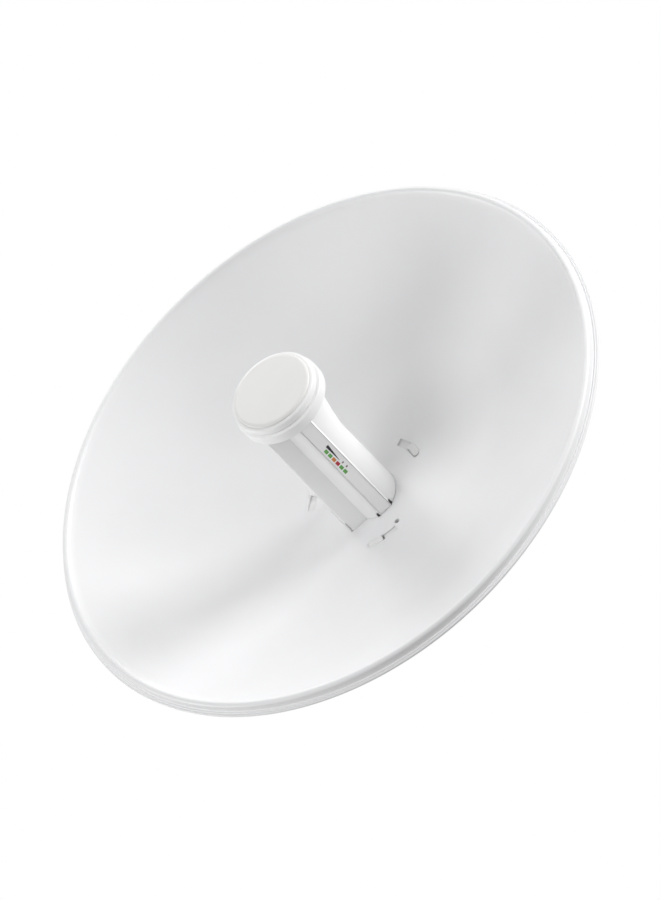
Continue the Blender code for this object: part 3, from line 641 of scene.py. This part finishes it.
# Port cover and grommet: a moulded cap pushed over the boss's mouth, proud of it all round, with a soft plug
# that seals the cable's hole. The plug is cast with two rings and a dimple where the cable would go through.
mouth_spot = (0, port_middle, port_mouth)
cover_outline = rectangle(-0.0160, port_middle - 0.0085, 0.0160, port_middle + 0.0085, 0.0035)
cover_path = [(-0.0008, -0.0073), (-0.0003, -0.0071), (0.0, -0.0066), (0.0, -0.0009), (-0.0001, -0.0005),
              (-0.0003, -0.0003)]
cable_mouth = [(0, -0.0080), (0.0063, -0.0080), (0.0063, -0.0072), (0.0056, -0.0066), (0.0056, 0.0010),
               (0, 0.0010)]
groove = rectangle(-0.0070, -0.0058, 0.0070, -0.0030, 0.0013)
groove_path = [(-0.0004, 0.0080), (0.0, 0.0084), (0.0004, 0.0090)]
plug_section = filleted([(0, -0.0078), (0.0015, -0.0080, 0.0005), (0.0018, -0.0088, 0.0003),
                         (0.0044, -0.0088, 0.0006), (0.0046, -0.0082, 0.0002), (0.0050, -0.0079, 0.0003),
                         (0.0052, -0.0070, 0.0004), (0.0052, -0.0003), (0, -0.0003)], 4)

cover_rings = placed(prism(cover_outline, cover_path), (0, 0, port_mouth), *axes["z"])
cover = piece("cable_port_cover", skinned(cover_rings), housing_plastic, "port_plastic", "port_cover")
grip = [spun(cable_mouth, mouth_spot, "z")]
for side in (1, -1):
    grip.append(skinned(placed(prism(groove, groove_path), mouth_spot, (side, 0, 0), (0, 0, 1))))
cut(cover, grip)
smooth(cover)

rubber = moulded("grey_rubber", (0.085, 0.085, 0.087), 0.72, 800.0, 0.00006)
piece("cable_plug", spun(plug_section, mouth_spot, "z"), rubber, "grommet_rubber", "cable_grommet")


# Alignment bracket: a blank of galvanised steel sheet, punched flat and then folded by a brake into a
# channel. Four screws hold its web to the housing, and its ears take the pivots and the arc slots.
steel = 0.0025
bend = 0.0015                                # inside radius of every fold
bend_middle = bend + steel / 2
eased = 0.0003                               # how far a sheet's edges are eased
web_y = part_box("alignment_bracket")[0].y
align_half = 0.0270
pivot_y, pivot_z = -0.0133, 0.0130
bolt_bore, screw_bore = 0.0033, 0.0026       # radii of the holes for the bolts and the screws


def galvanised():
    """Hot-dip galvanised sheet: spangle cells a few millimetres wide, each with its own grey and gloss, under
    a duller bloom in clouds, on a slightly uneven skin. The grey is 0.6 of the cell's plus the bloom's."""
    made = finish("galvanised_steel", 0.45, 1.0)
    where = add(made, "ShaderNodeTexCoord")["Object"]
    cells = add(made, "ShaderNodeTexVoronoi", Vector=where, Scale=210.0)["Color"]
    spangle = add(made, "ShaderNodeSeparateColor", Color=cells)["Red"]
    bloom = noise(made, where, 60.0, 4.0)
    clouds = add(made, "ShaderNodeMapRange", Value=bloom, **{"From Min": 0.3, "From Max": 0.7, "To Max": 0.6})
    grey = made.node_tree.nodes.new("ShaderNodeMath")
    grey.operation = "MULTIPLY_ADD"
    grey.inputs[1].default_value = 0.6
    made.node_tree.links.new(spangle, grey.inputs[0])
    made.node_tree.links.new(clouds["Result"], grey.inputs[2])
    shade = ramp(made, grey.outputs["Value"], (0.1, (0.40, 0.41, 0.42)), (1.0, (0.62, 0.63, 0.64)))
    wire(made, shade, spread(made, spangle, 0.34, 0.52), bumped(made, bloom, 0.0001, 0.2))
    return made


def four_fold(corners):
    """A counter-clockwise outline from the corners of its first quarter, mirrored in both axes."""
    quarters = [[(x * a, y * b, *radius) for x, y, *radius in corners][::order]
                for a, b, order in ((1, 1, 1), (-1, 1, -1), (-1, -1, 1), (1, -1, -1))]
    return filleted(sum(quarters, []), 5, closed=True)


def plate(outline):
    """A flat sheet of this outline, lying on its own zero height, with its edges eased."""
    slight = 0.3 * eased
    path = [(-eased, 0.0), (-slight, slight), (0.0, eased), (0.0, steel - eased),
            (-slight, steel - slight), (-eased, steel)]
    return skinned(prism(outline, path))


def punch(outline):
    """A cutter through a sheet on zero height, a little wider at both faces."""
    path = [(2 * eased, -eased), (eased, 0.0), (0.0, eased), (0.0, steel - eased), (eased, steel),
            (2 * eased, steel + eased)]
    return skinned(prism(outline, path))


def flat_length(depth):
    """How far along the blank a point lies, past the start of its fold, that ends up this deep in the
    channel: a quarter turn of the fold's middle, and the straight rest."""
    return bend_middle * math.pi / 2 + depth - bend - steel


def fold(mesh, start, reach, origin, right, up):
    """Folds a flat sheet's two ends up by a right angle where |second coordinate| is within reach: past
    |first| = start a point swings round an arc of (bend + depth to the inner face), and past the arc it runs
    straight on. Faces are made triangles and divided along the folds first. Then the sheet is carried to the
    world."""
    work = bmesh.new()
    work.from_mesh(mesh)
    bmesh.ops.triangulate(work, faces=work.faces)
    for place in np.linspace(0, math.pi / 2 * bend_middle, 9):
        for side in (-1, 1):
            everything = work.verts[:] + work.edges[:] + work.faces[:]
            bmesh.ops.bisect_plane(work, geom=everything, plane_co=(side * (start + place), 0, 0),
                                   plane_no=(1, 0, 0))
    work.to_mesh(mesh)
    work.free()
    flat = np.empty(len(mesh.vertices) * 3)
    mesh.vertices.foreach_get("co", flat)
    first, second, lift = flat.reshape(-1, 3).T
    along = np.where(np.abs(second) < reach, np.maximum(np.abs(first) - start, 0), 0)
    swing = np.clip(along / bend_middle, 0, math.pi / 2)
    radius = bend + steel - lift
    across = np.sign(first) * (np.where(along > 0, start, np.abs(first)) + radius * np.sin(swing))
    depth = lift + radius * (1 - np.cos(swing)) + np.maximum(along - bend_middle * math.pi / 2, 0)
    mesh.vertices.foreach_set("co", placed(np.stack([across, second, depth], 1), origin, right, up).ravel())
    mesh.update()


def even_flats(obj):
    """Large flat faces keep their own normals where a fold's small faces meet them."""
    weighted = obj.modifiers.new("even_flats", "WEIGHTED_NORMAL")
    weighted.weight = 100
    weighted.keep_sharp = True


def sheet_metal(name, outline, holes, start, reach, origin, right, up, *stands_for):
    """A folded piece: the blank is cut flat with its holes, then folded."""
    made = piece(name, plate(outline), zinc_steel, "bracket_steel", *stands_for)
    cut(made, [punch(hole) for hole in holes])
    fold(made.data, start, reach, origin, right, up)
    even_flats(made)
    return made


def arc_slot(x, y, radius, half_width, swing, steps=12):
    """A slot along an arc about (x, y) below it, counter-clockwise: the outer arc, half a circle about one
    end, the inner arc back, and half a circle about the other end."""
    down = -math.pi / 2
    sweep = np.linspace(down - swing, down + swing, steps)
    turn = np.linspace(0, math.pi, steps)[1:-1]
    ends = []
    for end, opposite in ((down + swing, 0.0), (down - swing, math.pi)):
        ends.append(on_circle(*on_circle(x, y, radius, end), half_width, end + turn + opposite))
    return np.concatenate([on_circle(x, y, radius + half_width, sweep), ends[0],
                           on_circle(x, y, radius - half_width, sweep[::-1]), ends[1]])


zinc_steel = galvanised()
align_start = align_half - bend - steel
ear_end = align_start + flat_length(0.0200)
align_outline = four_fold([(ear_end, 0.0240, 0.0050), (0.0219, 0.0240, 0.0004), (0.0219, 0.0249, 0.0004),
                           (0.0229, 0.0249, 0.0004), (0.0229, 0.0270, 0.0016)])
pivot_flat = align_start + flat_length(pivot_y - web_y)
right_holes = [disc_outline(pivot_flat, pivot_z, bolt_bore),
               arc_slot(pivot_flat, pivot_z, 2 * pivot_z, bolt_bore, math.radians(6))]
left_holes = [(outline * (-1, 1))[::-1] for outline in right_holes]
web_holes = [disc_outline(x, z, screw_bore, 32) for x, z in screw_spots]
sheet_metal("channel_bracket", align_outline, web_holes + right_holes + left_holes, align_start, 0.0245,
            (0, web_y, 0), (-1, 0, 0), (0, 0, 1), "alignment_bracket")


# Pole bracket: a winged plate with a toothed vee jaw folded back along its top and its bottom, and two ears
# welded to its front that run between the other bracket's. The pole clamp is the same plate without the ears.
wing_half_width, wing_half_height = 0.0405, 0.0180
jaw_half_width, jaw_depth, vee_depth = 0.0245, 0.0145, 0.0055
vee_half = 0.01559                           # half the vee's width at its mouth
tooth_in, tooth_back = 0.0006, 0.0010        # how far each tooth stands out of the vee's flank
clamp_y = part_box("pole_clamp")[1].y
clamp_bolt_x = 0.0338
jaw_start = wing_half_height - bend - steel
ear_outer, ear_reach, ear_half, ear_round = 0.0242, 0.0190, 0.0240, 0.0050
weld_y = -steel + 0.0002                     # the ears stand this little into the plate
bead_half, bead_radius, bead_pitch = 0.0172, 0.0014, 0.0019


def jaw_blank():
    """The flat blank of a winged plate: a quarter of it from the vee's floor over six teeth, each straight in
    and then sloped back, to the wing's end."""
    edge, floor = jaw_start + flat_length(jaw_depth), jaw_start + flat_length(vee_depth)
    run = edge - floor
    relief = (jaw_start - 0.0002, jaw_half_width + 0.0010)
    flank = [(floor, tooth_in)]
    for share in np.arange(1, 6) / 6:
        flank += [(floor + run * share + tooth_in, vee_half * share - tooth_back),
                  (floor + run * share, vee_half * share)]
    return four_fold(flank + [(edge, vee_half), (edge, jaw_half_width, 0.0012), (relief[0], jaw_half_width),
                              relief, (wing_half_height, relief[1], 0.0004),
                              (wing_half_height, wing_half_width, 0.0060)])


def winged_plate(name, origin, right, up, node):
    """The blank with its two bolt holes, folded."""
    bolt_holes = [disc_outline(0.0, side * clamp_bolt_x, bolt_bore) for side in (1, -1)]
    return sheet_metal(name, jaw_blank(), bolt_holes, jaw_start, jaw_half_width + 0.0002, origin, right, up,
                       node)


def weld_bead(face):
    """A fillet weld along an ear's foot: round sections about the corner, whose radius ripples by a cosine
    and dies at the ends."""
    along = np.linspace(-bead_half, bead_half, 120)
    near_end = np.clip((bead_half - np.abs(along)) / 0.0012, 0, 1)
    ripple = 1 + 0.10 * np.cos(along * 2 * np.pi / bead_pitch)
    radius = bead_radius * np.sqrt(1 - (1 - near_end) ** 2) * ripple + 0.00005
    angle = whole_turn(20)
    x = face + radius[:, None] * np.cos(angle)
    y = weld_y + radius[:, None] * np.sin(angle) * 0.95
    return skinned(np.stack([x, y, along[:, None] + 0 * x], -1))


pole_plate = winged_plate("jaw_bracket", (0, -steel, 0), (0, 0, 1), (1, 0, 0), "pole_bracket")
winged_plate("jaw_clamp", (0, clamp_y, 0), (0, 0, 1), (-1, 0, 0), "pole_clamp")
upright = Matrix(((0, 0, 1), (1, 0, 0), (0, 1, 0))).to_4x4()
ears = []
for inner_face in (ear_outer - steel, -ear_outer):
    ear = plate(rectangle(-ear_reach, -ear_half, weld_y, ear_half, ear_round, 8))
    ear.transform(Matrix.Translation((inner_face, 0, 0)) @ upright)
    ears.append(ear)
ear_bore = [(0, -0.030), (bolt_bore, -0.030), (bolt_bore, 0.030), (0, 0.030)]
bores = [spun(ear_bore, (0, pivot_y, z), "x", 40) for z in (pivot_z, -pivot_z)]
pole_plate.modifiers.clear()                 # its normals are weighted after the last cut instead
cut(pole_plate, ears, "UNION")
cut(pole_plate, bores)
smooth(pole_plate)
even_flats(pole_plate)
beads = [weld_bead(side * face) for side in (1, -1) for face in (ear_outer, ear_outer - steel)]
piece("ear_welds", joined(beads), zinc_steel, "bracket_steel")


# Fasteners: zinc-plated M6 bolts. Two domed clamp bolts run through the wings, four flanged bolts through the
# ears, each with a flange nut, and four pan-head screws with a cross recess hold the web to the housing.
pitch, thread_depth = 0.0010, 0.00032
bolt_radius = 0.0030
bolt_steps = 72
flats, corners = 0.0050, 0.0060              # a hexagon's half width, and a circle past its corners
round_row = 1.0                              # a half width that leaves a row of a bolt round
nut_height = 0.0056
clamp_flange, ear_flange = 0.0068, 0.0072    # radii of the nuts' flanges
dome_radius, dome_base, dome_rise = 0.0065, -0.0033, 0.0025
bolt_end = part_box("clamp_bolt_right")[1].y
head_face = align_half + 0.0003              # under the flanged bolts' heads, from the middle
nut_face = ear_outer - steel - 0.0003
tail = nut_face - 0.0078


def zinc_plate():
    """Bright zinc plate: a bluish grey with faint clouds, its gloss broken up by fine marks of handling."""
    made = finish("zinc_plate", 0.30, 1.0)
    where = add(made, "ShaderNodeTexCoord")["Object"]
    cloud, scuffs = noise(made, where, 180.0, 3.0), noise(made, where, 1900.0, 4.0, Distortion=1.2)
    shade = ramp(made, cloud, (0.3, (0.56, 0.57, 0.59)), (0.7, (0.70, 0.71, 0.73)))
    wire(made, shade, spread(made, scuffs, 0.22, 0.40), bumped(made, scuffs, 0.00002, 0.2))
    return made


def threaded(first, last):
    """Rings of a screw thread: the radius falls by a triangle wave of height / pitch - angle / full turn."""
    rows = np.arange(first, last, pitch / 7)[:, None]
    wave = np.abs(2 * np.mod(rows / pitch - whole_turn(bolt_steps) / (2 * np.pi), 1) - 1)
    fade = np.clip(np.minimum(rows - first, last - rows) / pitch, 0.15, 1)
    return circled(bolt_radius - thread_depth * (wave * fade + 1 - fade), rows, bolt_steps)


def hexagonal(rows):
    """Rings of (cap radius, half width across flats, height): each point lies on the hexagon, at flats /
    cos(angle from the nearest flat's middle), or on the cap's circle where that is nearer."""
    rows = np.array(rows, float)
    facet = np.mod(whole_turn(bolt_steps), np.pi / 3) - np.pi / 6
    return circled(np.minimum(rows[:, 1:2] / np.cos(facet), rows[:, :1]), rows[:, 2:], bolt_steps)


def round_rows(*pairs):
    """Rows of plain circles for hexagonal, from (radius, height) pairs."""
    return [(radius, round_row, height) for radius, height in pairs]


def fastener(name, rings, spot, axis, node, loop=False):
    """A bolt or a nut along an axis of the world through this spot."""
    return piece(name, skinned(placed(rings, spot, *axes[axis]), loop), zinc, "fastener_zinc", node)


def flange_nut(flange):
    """A hexagon on a flange, with a bore that clears the thread, from its bearing face up."""
    bore = bolt_radius + 0.0001
    foot = round_rows((bore, 0.0003), (bore + 0.0004, 0), (flange - 0.0002, 0), (flange, 0.0002),
                      (flange, 0.0007), (flange - 0.0004, 0.0010), (corners, 0.0014))
    hexagon = [(corners, flats, 0.0016), (corners, flats, nut_height - 0.0008),
               (0.0056, flats, nut_height - 0.0003), (0.0050, flats, nut_height)]
    return hexagonal(foot + hexagon + round_rows((bore + 0.0006, nut_height), (bore, nut_height - 0.0005)))


zinc = zinc_plate()
dome = [(dome_radius * math.sin(a), dome_base - dome_rise * math.cos(a))
        for a in np.linspace(0, math.pi / 2, 9)]
clamp_head = round_rows(*dome, (dome_radius, -0.0030), (0.0063, -0.0028), (bolt_radius, -0.0028),
                        (bolt_radius, 0.0300))
clamp_tip = round_rows((bolt_radius - thread_depth - 0.0002, bolt_end - 0.0002),
                       (bolt_radius - 0.0010, bolt_end), (0, bolt_end))
clamp_shaft = np.concatenate([hexagonal(clamp_head), threaded(0.0302, bolt_end - 0.0003),
                              hexagonal(clamp_tip)])
flange_tip = round_rows((0, tail), (bolt_radius - 0.0010, tail), (bolt_radius - thread_depth, tail + 0.0003))
shank = round_rows((bolt_radius, nut_face), (bolt_radius, head_face))
flange_head = (round_rows((0.0070, 0), (0.0072, 0.0002), (0.0072, 0.0008), (0.0068, 0.0011),
                          (corners, 0.0015))
               + [(corners, flats, 0.0017), (corners, flats, 0.0053), (0.0056, flats, 0.0057),
                  (0.0049, flats, 0.0060)]
               + round_rows((0.0036, 0.0060), (0.0031, 0.0056), (0, 0.0055)))
flange_shaft = np.concatenate([hexagonal(flange_tip), threaded(tail + 0.0004, nut_face - 0.0001),
                               hexagonal(shank), hexagonal(flange_head) + (0, 0, head_face)])
ear_nut = flange_nut(ear_flange) * (1, 1, -1) + (0, 0, nut_face)
sides = ((1, "right", "x"), (-1, "left", "-x"))
for side, word, _ in sides:
    spot = (side * clamp_bolt_x, 0, 0)
    fastener(f"domed_bolt_{word}", clamp_shaft, spot, "y", f"clamp_bolt_{word}")
    clamp_nut = flange_nut(clamp_flange) + (0, 0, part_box(f"clamp_nut_{word}")[0].y)
    fastener(f"clamp_flange_nut_{word}", clamp_nut, spot, "y", f"clamp_nut_{word}", loop=True)
for _, word, axis in sides:
    for z, node in ((pivot_z, "pivot"), (-pivot_z, "slot")):
        spot = (0, pivot_y, z)
        fastener(f"{node}_flange_bolt_{word}", flange_shaft, spot, axis, f"{node}_bolt_{word}")
        fastener(f"{node}_flange_nut_{word}", ear_nut, spot, axis, f"{node}_nut_{word}", loop=True)

pan_section = filleted([(0, -0.0084), (0.0014, -0.0082), (0.0022, -0.0072), (0.0022, 0), (0.0041, 0),
                        (0.0042, 0.0002), (0.0042, 0.0009, 0.0006), (0.0030, 0.0019, 0.0015), (0, 0.0020)], 4)
pan_top = 0.0020
arm, arm_half = 0.0024, 0.00042
cross = four_fold([(arm, arm_half), (arm_half, arm_half), (arm_half, arm)])
recess = prism(cross, [(-0.0003, 0.0004), (0.0, 0.0019), (0.0002, 0.0024)])
for number, (x, z) in enumerate(screw_spots, 1):
    name, node = f"pan_screw_{number}", f"bracket_screw_{number}"
    spot = (x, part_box(node)[1].y - pan_top, z)
    screw = piece(name, spun(pan_section, spot, "y"), zinc, "fastener_zinc", node)
    cut(screw, [skinned(placed(recess, spot, *axes["y"]))])
    smooth(screw)


# Stage: a plain pale floor well below the antenna, past the edge of the main view, and soft light from large
# far-off sources. The world is white to the camera and dimmer as a light.
floor_drop, floor_radius, floor_thick = 1.2, 10.0, 0.02
sun_spread = math.radians(25)
dim_world, white_world = 0.23, 1.0
# name, azimuth counted as the camera's is, elevation, and strength
lights = (("top_light", 0, 75, 1.71), ("top_right_light", 80, 75, 0.89), ("right_light", 60, 50, 0.30),
          ("high_left_light", -60, 50, 0.32), ("left_fill", -60, 25, 0.29), ("left_light", -84, 2, 0.39),
          ("left_front_light", -58, -2, 0.42), ("low_front_light", 0, -25, 0.71),
          ("low_right_light", 40, -25, 0.26), ("lower_right_light", 40, -50, 0.47),
          ("under_light", -80, -75, 1.09), ("high_back_light", 170, 35, 0.60),
          ("low_back_light", -150, -30, 0.50))

floor_profile = np.array([(0, 0.0), (floor_radius, 0.0), (floor_radius, -floor_thick), (0, -floor_thick)])
floor_rings = placed(revolved(floor_profile, 96), (0, 0, -floor_drop), *axes["z"])
floor = shown("floor", skinned(floor_rings))
floor_paint = finish("pale_floor", 0.9)
speck = noise(floor_paint, add(floor_paint, "ShaderNodeTexCoord")["Object"], 3.0, 2.0)
wire(floor_paint, ramp(floor_paint, speck, (0.3, (0.80, 0.80, 0.80)), (0.7, (0.82, 0.82, 0.82))))
floor.data.materials.append(floor_paint)
# low lights reach the antenna through the floor, and it throws none back
floor.visible_shadow = False
floor.visible_diffuse = False
floor.visible_glossy = False

for name, azimuth_deg, elevation_deg, strength in lights:
    light = bpy.data.lights.new(name, "SUN")
    light.energy = strength
    light.angle = sun_spread
    lamp = shown(name, light)
    side, rise = math.radians(azimuth_deg), math.radians(elevation_deg)
    toward = Vector((math.sin(side) * math.cos(rise), -math.cos(side) * math.cos(rise), math.sin(rise)))
    lamp.rotation_euler = toward.to_track_quat("Z", "Y").to_euler()

world = bpy.data.worlds.new("studio")
bpy.context.scene.world = world
world.use_nodes = True
seen = add(world, "ShaderNodeLightPath")["Is Camera Ray"]
background = world.node_tree.nodes["Background"]
background.inputs["Color"].default_value = (1.0, 1.0, 1.0, 1.0)
world.node_tree.links.new(spread(world, seen, dim_world, white_world), background.inputs["Strength"])
bpy.context.scene.view_settings.view_transform = "Standard"
